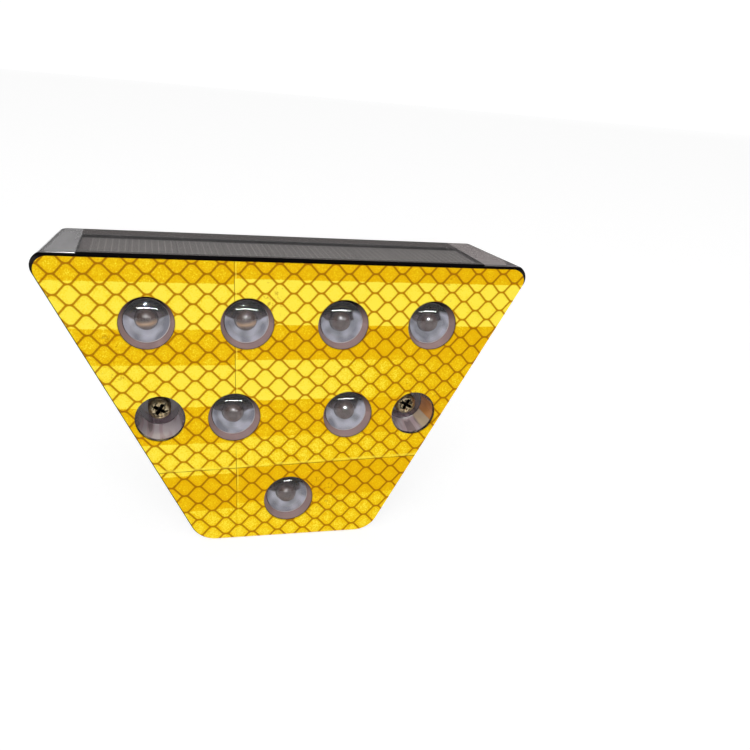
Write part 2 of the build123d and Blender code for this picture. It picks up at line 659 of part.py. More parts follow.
def battery_cell():
    front = BOARD_BACK + PAD_THICKNESS
    half = BATTERY_LENGTH / 2
    cell = box(-half, half, front, front + BATTERY_THICKNESS, BATTERY_BOTTOM, BATTERY_TOP)
    return fillet(cell.edges().filter_by(Axis.X), BATTERY_EDGE_FILLET)


def battery_pad():
    half = BATTERY_LENGTH / 2 - PAD_MARGIN
    low, high = BATTERY_BOTTOM + PAD_MARGIN, BATTERY_TOP - PAD_MARGIN
    return box(-half, half, BOARD_BACK, BOARD_BACK + PAD_THICKNESS, low, high)


def battery_wire(z):
    start = (BATTERY_LENGTH / 2, BOARD_BACK + PAD_THICKNESS + BATTERY_THICKNESS / 2, z)
    turn = (start[0] + BATTERY_WIRE_REACH, start[1], z)
    end = (turn[0], BOARD_BACK, z)
    return tube([start, turn, end], corner_radius(BATTERY_WIRE_REACH, start[1] - BOARD_BACK))


# ---- solar panel -----------------------------------------------------------------------------------------


def panel_layer(half_length, front, back, low, thickness):
    return box(-half_length, half_length, front, back, low, low + thickness)


def panel_board():
    return panel_layer(PANEL_HALF_LENGTH, PANEL_FRONT, PANEL_BACK, PANEL_BOTTOM, PANEL_BOARD_THICKNESS)


def cell_ribbons():
    low = PANEL_BOTTOM + PANEL_BOARD_THICKNESS
    width = PANEL_BACK - PANEL_FRONT
    ribbons = []
    for share in (0.25, 0.75):
        y = PANEL_FRONT + share * width
        front, back = y - RIBBON_WIDTH / 2, y + RIBBON_WIDTH / 2
        ribbons.append(panel_layer(PANEL_HALF_LENGTH - CELL_MARGIN, front, back, low, RIBBON_THICKNESS))
    return ribbons


def panel_cells():
    low = PANEL_BOTTOM + PANEL_BOARD_THICKNESS + RIBBON_THICKNESS
    pitch = 2 * (PANEL_HALF_LENGTH - CELL_MARGIN) / CELL_COUNT
    half = (pitch - CELL_GAP) / 2
    front, back = PANEL_FRONT + CELL_MARGIN, PANEL_BACK - CELL_MARGIN
    cell = panel_layer(half, front, back, low, CELL_THICKNESS)
    return [Pos((index - (CELL_COUNT - 1) / 2) * pitch, 0, 0) * cell for index in range(CELL_COUNT)]


def panel_encapsulant():
    low = PANEL_BOTTOM + PANEL_BOARD_THICKNESS + RIBBON_THICKNESS + CELL_THICKNESS
    return panel_layer(PANEL_HALF_LENGTH, PANEL_FRONT, PANEL_BACK, low, ENCAPSULANT_THICKNESS)


def panel_wire(x):
    start = (x, PANEL_WIRE_Y, PANEL_BOTTOM)
    turn = (x, PANEL_WIRE_Y, PANEL_BOTTOM - PANEL_WIRE_PAD_DROP)
    end = (x, BOARD_BACK, turn[2])
    return tube([start, turn, end], corner_radius(PANEL_WIRE_PAD_DROP, PANEL_WIRE_Y - BOARD_BACK))


# ---- all pieces ------------------------------------------------------------------------------------------


def all_pieces():
    pieces = {
        "housing": housing(),
        "reflective_film": reflective_film(),
        "back_plate": back_plate(),
        "perimeter_seal": perimeter_seal(),
        "rear_cover": rear_cover(),
        "rear_sealant": rear_sealant(),
        "mounting_bracket": mounting_bracket(),
        "clamp_screws": [clamp_screw(place) for place in WELL_PLACES],
        "clamp_nuts": [clamp_nut(place) for place in WELL_PLACES],
        "circuit_board": circuit_board(),
        "board_screws": [board_screw(place) for place in POST_PLACES],
        "led_leads": led_leads(),
        "led_resistors": led_resistors(),
        "controller_chip": controller_chip(),
        "charge_inductor": charge_inductor(),
        "inductor_winding": inductor_winding(),
        "filter_capacitor": filter_capacitor(),
        "blocking_diode": blocking_diode(),
        "battery_cell": battery_cell(),
        "battery_pad": battery_pad(),
        "battery_wire_red": battery_wire(BATTERY_TOP - BATTERY_WIRE_DROP + BATTERY_WIRE_SPREAD),
        "battery_wire_black": battery_wire(BATTERY_TOP - BATTERY_WIRE_DROP - BATTERY_WIRE_SPREAD),
        "panel_board": panel_board(),
        "cell_ribbons": cell_ribbons(),
        "panel_cells": panel_cells(),
        "panel_encapsulant": panel_encapsulant(),
        "panel_wire_red": panel_wire(PANEL_WIRE_X),
        "panel_wire_black": panel_wire(-PANEL_WIRE_X),
    }
    for number, place in enumerate(LENS_PLACES, start=1):
        pieces[f"lens_{number}"] = lens(place)
        pieces[f"led_{number}"] = led(place)
    return pieces


os.makedirs("parts", exist_ok=True)
for name, piece in all_pieces().items():
    solids = piece if isinstance(piece, list) else piece.solids()
    group = Compound(children=[solid for shape in solids for solid in shape.solids()])
    export_step(Pos(0, -BOLT_HOLE_Y, 0) * group, f"parts/{name}.step")
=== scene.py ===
"""Solar guardrail delineator lamp: looks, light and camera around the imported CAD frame."""
import math

import bmesh
import bpy
from mathutils import Euler, Matrix, Vector


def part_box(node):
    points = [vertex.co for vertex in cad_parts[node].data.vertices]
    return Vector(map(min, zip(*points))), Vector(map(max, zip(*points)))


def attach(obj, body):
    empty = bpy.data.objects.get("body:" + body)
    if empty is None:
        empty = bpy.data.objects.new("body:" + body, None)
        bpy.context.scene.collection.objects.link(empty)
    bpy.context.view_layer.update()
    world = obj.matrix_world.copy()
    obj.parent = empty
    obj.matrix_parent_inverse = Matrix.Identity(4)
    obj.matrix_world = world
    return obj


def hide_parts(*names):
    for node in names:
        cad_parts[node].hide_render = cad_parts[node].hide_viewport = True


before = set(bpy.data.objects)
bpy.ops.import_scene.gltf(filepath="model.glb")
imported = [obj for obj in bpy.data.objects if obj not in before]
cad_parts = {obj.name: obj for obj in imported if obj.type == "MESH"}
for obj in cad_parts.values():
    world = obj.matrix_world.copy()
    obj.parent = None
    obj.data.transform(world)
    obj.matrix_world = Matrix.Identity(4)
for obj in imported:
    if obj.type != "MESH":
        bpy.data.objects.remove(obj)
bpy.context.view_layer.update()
MM = 0.001

# ---- places read from the frame --------------------------------------------------------------------------

housing_low, housing_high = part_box("housing")
FRONT_Y = housing_low.y         # metres, the housing's front face
TOP = housing_high.z / MM       # millimetres from here on, with depths counted back from the front face
panel_low, panel_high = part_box("panel_encapsulant")
PANEL_BACK = (panel_high.y - FRONT_Y) / MM
PANEL_HALF = panel_high.x / MM
PANEL_UNDERSIDE = panel_low.z / MM
LENS_NODES = [f"lens_{number}" for number in range(1, 8)]


def front_view(node):
    """A node's middle on the front view, in millimetres: across, and up from the ground."""
    low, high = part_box(node)
    centre = (low + high) / 2
    return centre.x / MM, centre.z / MM


LENS_PLACES = [front_view(node) for node in LENS_NODES]
_, screw_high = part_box("clamp_screws")
SCREW_HEAD_RADIUS = 2.8
WELL_X = screw_high.x / MM - SCREW_HEAD_RADIUS
WELL_Z = LENS_PLACES[4][1]      # the wells are level with lens_5
WELL_PLACES = [(-WELL_X, WELL_Z), (WELL_X, WELL_Z)]


def linked(name, data):
    """An object added to the scene."""
    made = bpy.data.objects.new(name, data)
    bpy.context.scene.collection.objects.link(made)
    return made


# ---- camera ----------------------------------------------------------------------------------------------

CAMERA_PLACE = (-0.03443, -0.23562, 0.11241)    # metres
HEADING = 17.841          # degrees to the right of +Y
LOOK_DOWN = 20.712        # degrees
ROLL = 5.349              # degrees
LENS_MM = 39.39
SENSOR_MM = 36.0
SHIFT = (-0.0259, 0.0366)


def place_camera():
    data = bpy.data.cameras.new("camera")
    data.lens, data.sensor_width = LENS_MM, SENSOR_MM
    data.shift_x, data.shift_y = SHIFT
    data.clip_start, data.clip_end = 0.01, 50.0
    camera = linked("camera", data)
    aim = Euler((math.radians(90 - LOOK_DOWN), 0, math.radians(-HEADING))).to_matrix()
    turn = aim @ Matrix.Rotation(math.radians(ROLL), 3, "Z")
    camera.matrix_world = Matrix.Translation(CAMERA_PLACE) @ turn.to_4x4()
    bpy.context.scene.camera = camera


place_camera()

# ---- node maths ------------------------------------------------------------------------------------------


class Value:
    """A node's output. Arithmetic on it adds Math nodes to its tree."""

    def __init__(self, maker, socket):
        self.maker, self.socket = maker, socket

    def math(self, operation, *others):
        return self.maker.node("ShaderNodeMath", {"operation": operation}, self, *others)

    def __add__(self, other):
        return self.math("ADD", other)

    __radd__ = __add__

    def __mul__(self, other):
        return self.math("MULTIPLY", other)

    def __sub__(self, other):
        return self.math("SUBTRACT", other)

    def __rsub__(self, other):
        return self.maker.node("ShaderNodeMath", {"operation": "SUBTRACT"}, other, self)

    def __truediv__(self, other):
        return self.math("DIVIDE", other)

    def __pow__(self, other):
        return self.math("POWER", other)

    def __abs__(self):
        return self.math("ABSOLUTE")

    def at_least(self, other):
        return self.math("MAXIMUM", other)

    def at_most(self, other):
        return self.math("MINIMUM", other)

    def clamped(self):
        return self.at_most(1.0).at_least(0.0)

    def above(self, edge, softness=0.1):
        """1 where the value is above the edge, 0 below, with a soft step."""
        return ((self - edge) / softness + 0.5).clamped()

    def below(self, edge, softness=0.1):
        return 1 - self.above(edge, softness)

    def within(self, low, high, softness=0.1):
        """1 between two edges, 0 outside them."""
        return self.above(low, softness) * self.below(high, softness)


class Tree:
    """Adds nodes to a shader or geometry tree."""

    def __init__(self, tree):
        self.tree = tree

    def node(self, kind, settings=None, *values, output=0, **named):
        made = self.tree.nodes.new(kind)
        for key, setting in (settings or {}).items():
            setattr(made, key, setting)
        for place, value in enumerate(values):
            self.feed(made.inputs[place], value)
        for name, value in named.items():
            self.feed(made.inputs[name.replace("_", " ")], value)
        return Value(self, made.outputs[output])

    def split(self, vector):
        """A vector's x, y and z."""
        parts = self.node("ShaderNodeSeparateXYZ", None, vector).socket.node
        return [Value(self, part) for part in parts.outputs]

    def feed(self, socket, value):
        if isinstance(value, Value):
            self.tree.links.new(value.socket, socket)
        elif socket.type == "RGBA" and len(value) == 3:
            socket.default_value = (*value, 1)
        else:
            socket.default_value = value


def srgb(red, green, blue):
    """A colour given on the 0 to 255 display scale."""
    shares = (channel / 255 for channel in (red, green, blue))
    return tuple(c / 12.92 if c <= 10 / 255 else ((c + 0.055) / 1.055) ** 2.4 for c in shares)


MIX_INPUTS = (0, 6, 7)          # of a Mix node set to colours: its factor and its two colours
MIX_RESULT = 2


class Finish(Tree):
    """A material, with the object's coordinates in millimetres as x across, y back and z up."""

    def __init__(self, name):
        self.material = bpy.data.materials.new(name)
        self.material.use_nodes = True
        super().__init__(self.material.node_tree)
        self.tree.nodes.clear()
        self.place = self.node("ShaderNodeTexCoord", output="Object")
        across, back, up = self.split(self.place)
        self.x, self.y, self.z = across / MM, (back - FRONT_Y) / MM, up / MM

    def mix(self, factor, first, second):
        """The first colour where the factor is 0, the second where it is 1."""
        made = self.tree.nodes.new("ShaderNodeMix")
        made.data_type = "RGBA"
        for place, value in zip(MIX_INPUTS, (factor, first, second)):
            self.feed(made.inputs[place], value)
        return Value(self, made.outputs[MIX_RESULT])

    def noise(self, size, detail=3.0, roughness=0.55, stretch=(1, 1, 1)):
        """Noise of about 0 to 1 whose features are about size millimetres across."""
        scale = tuple(1 / (size * MM * part) for part in stretch)
        moved = self.node("ShaderNodeMapping", None, self.place, Scale=scale)
        return self.node("ShaderNodeTexNoise", None, moved, Scale=1.0, Detail=detail, Roughness=roughness)

    def bump(self, height, distance, strength=1.0):
        """A normal from a height of 0 to 1 and its depth in millimetres."""
        return self.node("ShaderNodeBump", None, Height=height, Distance=distance * MM, Strength=strength)

    def shader(self, **sockets):
        return self.node("ShaderNodeBsdfPrincipled", None, **sockets)

    def shaders(self, factor, first, second):
        return self.node("ShaderNodeMixShader", None, factor, first, second)

    def glancing(self, straight=0.04):
        """Share of light that a clear surface reflects: little when seen straight on, much at a slant."""
        slant = self.node("ShaderNodeLayerWeight", None, 0.5, output="Facing")
        return slant ** 5.0 * (1 - straight) + straight

    def done(self, surface):
        out = self.tree.nodes.new("ShaderNodeOutputMaterial")
        self.tree.links.new(surface.socket, out.inputs["Surface"])
        return self.material


def distance_to(finish, place):
    """Distance on the front view from the axis at a place, in millimetres."""
    across, up = finish.x - place[0], finish.z - place[1]
    return (across * across + up * up).math("SQRT")


def nearest(finish, places):
    """Distance on the front view to the nearest of some axes."""
    least = distance_to(finish, places[0])
    for place in places[1:]:
        least = least.at_most(distance_to(finish, place))
    return least


# ---- finishes --------------------------------------------------------------------------------------------

# Reflective film: six-sided cells in staggered rows. Two slanting directions count the cells, as cycles
# per millimetre along x and z, and the count at the origin.
CELL_DIRECTIONS = [(0.1447, 0.2166, 0.044), (0.1553, -0.2082, 0.197)]
CELL_PITCH = 6.664
CELL_HEIGHT = 4.707
CELL_FLAT_HALF = 0.62          # half of a cell's level top edge
CELL_CORNER = 0.55
LINE_HALF_WIDTH = 0.23
FILM_JOINT_X = -13.0           # of the upright joint at the ground, and its lean
FILM_JOINT_LEAN = -0.028
FILM_JOINT_Z = 20.75           # of the level joint at the middle, and its slope
FILM_JOINT_SLOPE = 0.034
LEFT_BAND_DROP = 1.3           # how much lower the bands are left of the upright joint
FILM_SPAN = 40.0               # from the middle to where a band's left or right brightness holds
FILM_WINDOW = 6.5              # radius that the darker edge round a window reaches to
# Height of a band's lower edge, its slope, and the brightness below it at the left, middle and right.
FILM_BANDS = [
    (68.8, 0.0, (0.90, 1.00, 1.00)),
    (57.75, 0.0, (0.34, 0.16, 0.02)),
    (49.0, 0.0, (0.86, 0.98, 0.22)),
    (38.6, 0.01, (0.20, 0.24, 0.14)),
    (28.9, 0.01, (0.90, 0.62, 0.30)),
    (20.75, 0.034, (0.14, 0.06, 0.00)),
    (10.8, 0.035, (0.72, 0.52, 0.45)),
]
TOP_BAND = (0.30, 0.12, 0.04)
BRIGHT_FILM = srgb(252, 230, 72)
AMBER_FILM = srgb(229, 176, 0)
FILM_LINES = srgb(166, 106, 0)


def reflective_film():
    film = Finish("prismatic film")
    x, z = film.x, film.z
    wobble = (film.noise(2.2) - 0.5) * 0.25

    side = (x / FILM_SPAN).at_most(1.0).at_least(-1.0)
    leftward, rightward = (0 - side).at_least(0.0), side.at_least(0.0)

    def level(values):
        left, centre, right = values
        return centre + leftward * (left - centre) + rightward * (right - centre)

    joint_across = x - FILM_JOINT_X - z * FILM_JOINT_LEAN
    dropped = joint_across.below(0.0) * LEFT_BAND_DROP
    bright = level(TOP_BAND)
    for edge, slope, values in FILM_BANDS:
        inside = (z + dropped - x * slope + wobble * 0.5).below(edge, 0.25)
        bright = bright + (level(values) - bright) * inside

    first, second = (x * along_x + z * along_z - start for along_x, along_z, start in CELL_DIRECTIONS)
    across, up = (first + second) / 2, (first - second) / 2
    tall, wide = CELL_HEIGHT / 2, CELL_PITCH / 2 - CELL_FLAT_HALF
    slant = math.hypot(tall, wide - CELL_FLAT_HALF)
    depths = []
    for half_right, half_up in ((0.5, 0.0), (0.0, 0.5)):
        right = across - half_right
        over = up - half_up
        right = abs(right - right.math("ROUND")) * CELL_PITCH
        over = abs(over - over.math("ROUND")) * CELL_HEIGHT
        to_side = ((wide - right) * tall - over * (wide - CELL_FLAT_HALF)) / slant
        depths.append((tall - over).math("SMOOTH_MIN", to_side, CELL_CORNER))
    depth = depths[0].at_least(depths[1]) + wobble * 0.35
    line = depth.below(LINE_HALF_WIDTH, 0.2)
    heart = depth.above(1.0, 1.4)

    cell = film.node("ShaderNodeCombineXYZ", None, first.math("FLOOR"), second.math("FLOOR"))
    cell_shade = film.node("ShaderNodeTexWhiteNoise", {"noise_dimensions": "2D"}, cell)
    grain = (film.noise(0.3, detail=1.0, roughness=0.6) - 0.5) * 2.6 + 0.5
    cloud = film.noise(7.0)
    bright = bright + (grain - 0.5) * (0.85 - bright * 0.5)
    bright = bright + (cloud - 0.5) * 0.30 + (cell_shade - 0.5) * 0.10 + (heart - 0.5) * 0.22
    colour = film.mix(bright.clamped(), AMBER_FILM, srgb(250, 222, 24))
    colour = film.mix(bright.above(0.75, 0.5), colour, BRIGHT_FILM)
    line_colour = film.mix(bright.clamped(), FILM_LINES, srgb(186, 128, 4))
    colour = film.mix(line, colour, line_colour)

    joint_level = z - FILM_JOINT_Z - x * FILM_JOINT_SLOPE
    patchy = film.noise(6.0, detail=1.0).above(0.42, 0.15)
    seam = abs(joint_across + 0.05).below(0.09, 0.1) * (patchy * 0.6 + 0.15)
    seam = seam.at_least(abs(joint_level).below(0.1, 0.12) * (patchy * 0.5 + 0.25))
    edge_light = abs(joint_across - 0.32).below(0.16, 0.15) * patchy
    edge_light = edge_light.at_least(abs(joint_level - 0.45).below(0.3, 0.3) * patchy)
    colour = film.mix(edge_light * 0.5, colour, BRIGHT_FILM)
    colour = film.mix(seam, colour, srgb(120, 78, 8))

    specks = film.noise(1.1, detail=4.0, roughness=0.75) * film.noise(16.0, detail=1.0)
    colour = film.mix(specks.above(0.42, 0.05) * 0.45, colour, srgb(172, 88, 0))
    colour = film.mix(nearest(film, LENS_PLACES).below(FILM_WINDOW, 0.2) * 0.3, colour, srgb(140, 88, 0))

    height = 1 - line * 0.6 - seam * 0.8
    shape = film.bump(height + (cloud * 1.2) + grain * 0.06, 0.05, 0.5)
    return film.done(
        film.shader(
            Base_Color=colour, Roughness=grain.clamped() * 0.25 + 0.32, Specular_IOR_Level=0.02,
            Coat_Weight=0.02, Coat_Roughness=0.15, Normal=shape,
        )
    )


FRONT_SKIN = 0.12              # depth of the front face itself
LENS_RECESS = (6.7, 3.4)       # radius and depth that take in a recess in front of a lens
WELL = (6.3, 11.0)             # the same for a screw well
WELL_COLOURS = 6.6             # nearer than this to a well's axis, the lining is the well's
WELL_FLOOR = 8.1
BARE_MARGIN = 0.35             # depth of the dark bare margin round the film
END_FACE = 0.4                 # depth of the front face above the film at the clear ends
LEFT_END_GAP = 0.25            # the left end's edge lies this far outside the panel
RIGHT_END_LAP = 2.1            # the clouded right end reaches this far over the panel
FRONT_STRIP = 1.9              # clouded front and rear parts of the top wall
REAR_STRIP = 6.9
PANEL_SLOT = 2.0               # the slot's walls reach this far below the panel
PINK_REFLECTION_START = 40.0              # the top has a pinkish painted reflection and refraction right of this
STREAKY_REFLECTION_START = 53.0           # and a streaky painted dark reflection and refraction right of this, at the front
ARCH_X = -58.0                 # middle and half sizes of the darker arch of painted shade at the left front corner
ARCH_HALF = (1.8, 7.5)
ROLL_START = 52.0              # the rounded top corners lie outside this
LINING_OPACITY = 0.97


def recess_lining(shell, upward, swirl):
    """Dark above and reddish grey below, as light falls in from above."""
    lining = shell.mix(upward.above(-0.42, 0.75), srgb(16, 13, 14), srgb(156, 132, 129))
    return shell.mix(swirl.above(0.55, 0.3) * 0.35, lining, srgb(112, 98, 104))


def well_lining(shell, upward, sideways):
    """Upright facets with painted highlights and painted shade, lighter where the wall faces up, with the
    film's colour and a beige painted as reflections on the right hand side, and a dark mouth and floor.
    """
    facets = shell.noise(2.4, detail=1.0, stretch=(1, 8, 1))
    # Painted shade: light where the wall faces up, dark where it faces down.
    wall = shell.mix(upward.above(0.1, 0.9), srgb(58, 46, 50), srgb(176, 158, 162))
    # Painted highlights on the facets of the upward facing wall, then darker upright streaks.
    wall = shell.mix(facets.above(0.52, 0.06) * upward.above(0.2, 0.3) * 0.5, wall, srgb(206, 202, 208))
    wall = shell.mix(facets.below(0.4, 0.05) * 0.5, wall, srgb(74, 62, 68))
    leftward = 0 - sideways
    right_wall = shell.x.above(0.0) * upward.above(-0.5, 0.1)
    # Painted reflections of the film's amber and of a beige on the right hand well's wall.
    amber_reflection = leftward.above(0.6, 0.1) * upward.below(0.42, 0.06) * right_wall
    wall = shell.mix(amber_reflection * 0.9, wall, srgb(206, 134, 66))
    beige_reflection = leftward.above(0.3, 0.1) * upward.within(0.42, 0.8, 0.06) * right_wall
    wall = shell.mix(beige_reflection * 0.8, wall, srgb(214, 194, 160))
    wall = shell.mix(shell.y.below(0.9, 0.4), wall, srgb(34, 28, 32))
    return shell.mix(shell.y.above(WELL_FLOOR, 0.3), wall, srgb(64, 50, 56))


def housing_plastic():
    """Clear plastic that greys where it is thick, with a dark bare margin in front, painted shade and
    reflections in the recesses, and painted shade and reflections at its ends and rounded corners.
    """
    shell = Finish("clear polycarbonate")
    x, y, z = shell.x, shell.y, shell.z
    sideways, _, upward = shell.split(shell.node("ShaderNodeNewGeometry", output="Normal"))
    streaks = shell.noise(5.0, detail=2.0, stretch=(0.6, 3.0, 0.5))
    swirl = shell.noise(9.0, detail=2.0)

    # where each part of the shell is
    well_way = nearest(shell, WELL_PLACES)
    behind_skin = y.above(FRONT_SKIN, 0.05)
    in_recess, in_well = (
        way.below(radius, 0.1) * y.below(depth, 0.1) * behind_skin
        for way, (radius, depth) in ((nearest(shell, LENS_PLACES), LENS_RECESS), (well_way, WELL))
    )
    lined = in_recess.at_least(in_well)
    within_panel = (0 - x).below(PANEL_HALF + LEFT_END_GAP, 0.1) * x.below(PANEL_HALF - RIGHT_END_LAP, 0.1)
    margin = y.below(BARE_MARGIN, 0.12) * (1 - lined) * within_panel.at_least(z.below(TOP - 0.25, 0.1))
    over_panel = within_panel * z.above(PANEL_UNDERSIDE - PANEL_SLOT, 0.1)
    slot_end = over_panel * abs(x).above(PANEL_HALF + 0.1, 0.05)
    behind_front = y.above(FRONT_STRIP, 0.1) * y.below(PANEL_BACK - REAR_STRIP, 1.5) * (1 - slot_end)
    strips = over_panel * (1 - behind_front) * (1 - slot_end)
    # Mask of the upright front face at the clear ends, which gets painted shade.
    end_face = y.below(END_FACE, 0.1) * (1 - lined) * (1 - margin)
    top = z.above(TOP - 0.7, 0.3) * (1 - margin) * (1 - over_panel)
    # Mask of the painted reflection and refraction at the right end's front.
    right_end_reflection = (x - y * 0.3).above(STREAKY_REFLECTION_START, 0.4) * z.above(TOP - 9.0, 1.0) * (1 - margin)
    # Mask of the painted shade at the left front corner.
    corner_shade = (((x - ARCH_X) / ARCH_HALF[0]) ** 2.0 + (y / ARCH_HALF[1]) ** 2.0).below(1.0, 0.25)
    # Mask of the painted reflection on the rounded top corners.
    corner_reflection = z.above(TOP - 7.0, 0.6) * z.below(TOP - 1.2, 0.6) * abs(x).above(ROLL_START, 0.5)

    # Painted shade and reflections in the lens recesses and the screw wells.
    lining = shell.mix(
        well_way.below(WELL_COLOURS, 0.1),
        recess_lining(shell, upward, swirl), well_lining(shell, upward, sideways),
    )
    colour = shell.mix(streaks, srgb(186, 184, 185), srgb(222, 220, 221))
    colour = shell.mix(lined, colour, lining)
    colour = shell.mix(strips, colour, srgb(112, 107, 106))
    colour = shell.mix(margin, colour, srgb(12, 11, 13))
    # Painted reflection and refraction: the top turns pinkish towards the right end.
    colour = shell.mix(top * x.above(PINK_REFLECTION_START) * 0.6, colour, srgb(214, 198, 196))
    # Painted shade: the upright front face at the clear ends is a darker copy of the top's grey, for the
    # light it gets from the front and the floor.
    colour = shell.mix(end_face, colour, srgb(96, 93, 95))
    # Painted reflection and refraction: a darker streaky wedge at the right end's front.
    colour = shell.mix(right_end_reflection * (streaks * 0.5 + 0.5), colour, srgb(122, 117, 121))
    # Painted shade: a darker arch at the left front corner.
    colour = shell.mix(corner_shade * top * 0.8, colour, srgb(118, 114, 116))
    # Painted reflection: dark bands on the rounded top corners.
    bands = shell.noise(1.6, detail=2.0, stretch=(40, 12, 1)).above(0.5, 0.16)
    colour = shell.mix(corner_reflection * (bands * 0.6 + 0.25), colour, srgb(44, 42, 45))
    opacity = 0.7 + swirl * 0.14 + top * 0.2
    for covered in (lined, margin, strips.at_least(slot_end)):
        opacity = opacity.at_least(covered * LINING_OPACITY)
    opacity = opacity * (1 - over_panel * behind_front * 0.9)

    ripple = shell.bump(swirl, 0.06, 0.35)
    body = shell.shader(
        Base_Color=colour, Roughness=0.16, Specular_IOR_Level=0.5, IOR=1.52,
        Coat_Weight=0.3, Coat_Roughness=0.04, Normal=ripple,
    )
    see_through = shell.shaders(opacity, shell.node("ShaderNodeBsdfTransparent"), body)
    gloss = shell.node("ShaderNodeBsdfAnisotropic", None, Roughness=0.05, Normal=ripple)
    shine = shell.glancing() * (1 - in_recess * 0.5) * (1 - over_panel * 0.6)
    matte = shell.shader(Base_Color=colour, Roughness=1.0, Specular_IOR_Level=0.0)
    dull = margin.at_least(in_recess * 0.96).at_least(end_face * 0.8)
    return shell.done(shell.shaders(dull, shell.shaders(shine, see_through, gloss), matte))


def cover_plastic():
    """The rear cover: clearer than the housing, so that the sealant shows through."""
    shell = Finish("clear rear cover")
    swirl = shell.noise(8.0, detail=2.0)
    ripple = shell.bump(swirl, 0.05, 0.3)
    tint = shell.mix(swirl, srgb(150, 150, 150), srgb(182, 181, 180))
    body = shell.shader(Base_Color=tint, Roughness=0.1, IOR=1.52, Coat_Weight=0.2, Normal=ripple)
    see_through = shell.shaders(0.1 + swirl * 0.08, shell.node("ShaderNodeBsdfTransparent"), body)
    gloss = shell.node("ShaderNodeBsdfAnisotropic", None, Roughness=0.04, Normal=ripple)
    return shell.done(shell.shaders(shell.glancing(), see_through, gloss))


def sealant_band():
    """Mottled grey-brown compound."""
    paste = Finish("grey brown sealant")
    lumps = paste.noise(2.4, detail=5.0, roughness=0.7)
    blotch = paste.noise(7.0, detail=3.0)
    colour = paste.mix(lumps.above(0.5, 0.3), srgb(92, 84, 78), srgb(158, 150, 142))
    colour = paste.mix(blotch.above(0.58, 0.12) * 0.5, colour, srgb(66, 56, 50))
    return paste.done(
        paste.shader(
            Base_Color=colour, Roughness=lumps * 0.3 + 0.5, Normal=paste.bump(lumps, 0.5, 0.7),
        )
    )


def galvanised_sheet():
    """Zinc coated sheet with faint crystals, smudges and fine rolling marks."""
    sheet = Finish("galvanised sheet")
    crystals = sheet.node("ShaderNodeTexVoronoi", None, sheet.place, Scale=1 / (3.2 * MM), output="Color")
    crystal = sheet.node("ShaderNodeSeparateColor", None, crystals)
    rolling = sheet.noise(0.7, detail=2.0, stretch=(18, 0.6, 0.6))
    smudge = sheet.noise(11.0, detail=4.0, roughness=0.65)
    shade = crystal * 0.22 + rolling * 0.2 + smudge * 0.58
    colour = sheet.mix(shade.above(0.46, 0.5), srgb(188, 193, 184), srgb(216, 221, 211))
    return sheet.done(
        sheet.shader(
            Base_Color=colour, Metallic=0.15, Roughness=smudge * 0.3 + crystal * 0.08 + 0.3,
            Normal=sheet.bump(rolling + crystal * 0.3, 0.02, 0.35),
        )
    )


SCREW_CROSS = (6.25, 9.0)      # depths between which a screw's cross lies
SCREW_CROSS_RADIUS = 2.1


def plated_screw():
    """Yellow plated steel, with painted shade in the cross and dark patches round it."""
    steel = Finish("yellow plated steel")
    worn = steel.noise(0.9, detail=3.0)
    scratches = steel.noise(0.3, detail=2.0, stretch=(1, 1, 4))
    colour = steel.mix(worn.above(0.5, 0.3), srgb(150, 130, 92), srgb(206, 192, 158))
    cross = steel.y.above(SCREW_CROSS[0], 0.2) * steel.y.below(SCREW_CROSS[1], 0.5)
    centre = nearest(steel, WELL_PLACES).below(SCREW_CROSS_RADIUS, 0.15)
    # Dark patches round the cross that widen its painted shade.
    cross_shade_patches = steel.noise(0.55, detail=2.0).above(0.52, 0.05)
    near = nearest(steel, WELL_PLACES).below(2.2, 0.3)
    colour = steel.mix(cross_shade_patches * near * 0.9, colour, srgb(18, 15, 12))
    # Painted shade in the cross recess.
    colour = steel.mix(cross * centre, colour, srgb(16, 14, 12))
    return steel.done(
        steel.shader(
            Base_Color=colour, Metallic=0.9, Roughness=worn * 0.25 + 0.22,
            Normal=steel.bump(scratches, 0.03, 0.5),
        )
    )


FINGER_PITCH = 1.5
FINGER_END = 6.5               # from the panel's back edge
PLAIN_END = 2.3                # at the panel's left and right
SOLAR_CELLS = 9
SOLAR_CELL_WIDTH = 2 * PANEL_HALF / SOLAR_CELLS


def solar_panel():
    """Dark cells under resin, with pale fingers across and faint gaps between the cells."""
    panel = Finish("resin over solar cells")
    x, y = panel.x, panel.y
    grime = panel.noise(5.0, detail=4.0, roughness=0.6)
    fibres = panel.noise(0.5, detail=3.0, stretch=(0.5, 30, 1))
    turns = x / FINGER_PITCH
    finger = (abs(turns - turns.math("ROUND")) * FINGER_PITCH).below(0.12, 0.14)
    fade = panel.noise(9.0, detail=2.0, stretch=(1, 4, 1))
    cell_turns = x / SOLAR_CELL_WIDTH + 0.5
    gap = (abs(cell_turns - cell_turns.math("ROUND")) * SOLAR_CELL_WIDTH).below(0.2, 0.2)
    end = abs(x).above(PANEL_HALF - PLAIN_END, 0.3)
    long = y.below(PANEL_BACK - FINGER_END, 0.6)
    front_bar = y.below(4.6, 0.4) * y.above(2.2, 0.2)
    colour = panel.mix(fibres, srgb(112, 107, 105), srgb(136, 131, 128))
    colour = panel.mix(finger * (0.1 + fade * 0.75) * (1 - end) * long, colour, srgb(190, 184, 179))
    colour = panel.mix(gap * 0.5 * (1 - end), colour, srgb(86, 80, 79))
    colour = panel.mix(end * 0.7, colour, srgb(104, 95, 95))
    colour = panel.mix(front_bar * 0.35, colour, srgb(150, 143, 139))
    colour = panel.mix(grime.above(0.6, 0.2) * 0.25, colour, srgb(150, 143, 138))
    return panel.done(
        panel.shader(
            Base_Color=colour, Roughness=grime * 0.2 + 0.34, Specular_IOR_Level=0.3,
            Normal=panel.bump(grime, 0.05, 0.3),
        )
    )


